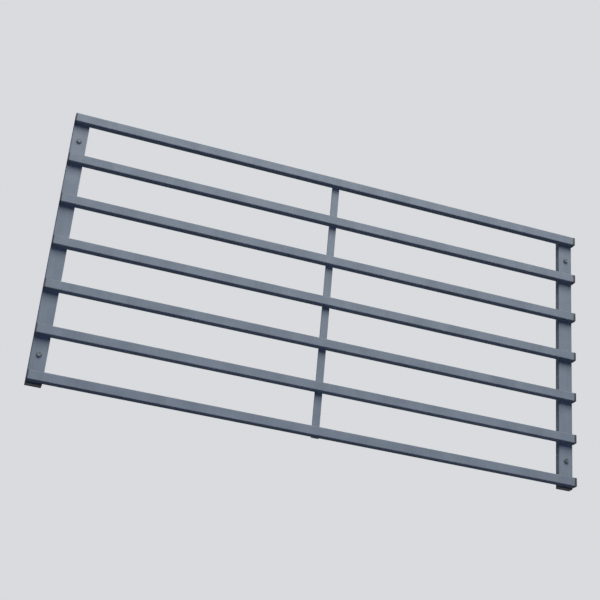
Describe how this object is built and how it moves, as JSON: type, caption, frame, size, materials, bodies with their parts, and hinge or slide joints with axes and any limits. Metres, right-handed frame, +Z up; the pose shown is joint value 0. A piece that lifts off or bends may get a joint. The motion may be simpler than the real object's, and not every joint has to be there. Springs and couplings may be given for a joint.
{
  "type": "juliet balcony",
  "caption": "Shallow window guard of level steel tubes on two flat wall posts, with plastic end plugs and through-holes for wall anchors.",
  "frame": {"origin": "on the wall face of the left post, at its mid width and mid height", "axes": "+X along the wall towards the right post, +Y into the wall, +Z up"},
  "size_m": [1.813, 0.05, 0.938],
  "materials": {
    "powder_coat": "fine-textured matt powder coat on welded steel tube, anthracite with a blue cast",
    "weld_coat": "rippled fillet welds under the same powder coat",
    "plug_plastic": "moulded dark grey polyethylene with a fine matt grain"
  },
  "bodies": {
    "root": {"left_post": "powder_coat", "right_post": "powder_coat", "centre_bar": "powder_coat", "rail_1": "powder_coat", "rail_2": "powder_coat", "rail_3": "powder_coat", "rail_4": "powder_coat", "rail_5": "powder_coat", "rail_6": "powder_coat", "rail_7": "powder_coat", "rail_1_left_cap": "plug_plastic", "rail_1_right_cap": "plug_plastic", "rail_2_left_cap": "plug_plastic", "rail_2_right_cap": "plug_plastic", "rail_3_left_cap": "plug_plastic", "rail_3_right_cap": "plug_plastic", "rail_4_left_cap": "plug_plastic", "rail_4_right_cap": "plug_plastic", "rail_5_left_cap": "plug_plastic", "rail_5_right_cap": "plug_plastic", "rail_6_left_cap": "plug_plastic", "rail_6_right_cap": "plug_plastic", "rail_7_left_cap": "plug_plastic", "rail_7_right_cap": "plug_plastic", "left_post_top_cap": "plug_plastic", "left_post_bottom_cap": "plug_plastic", "right_post_top_cap": "plug_plastic", "right_post_bottom_cap": "plug_plastic", "left_post_welds": "weld_coat", "right_post_welds": "weld_coat", "centre_bar_welds": "weld_coat"}
  },
  "joints": []
}
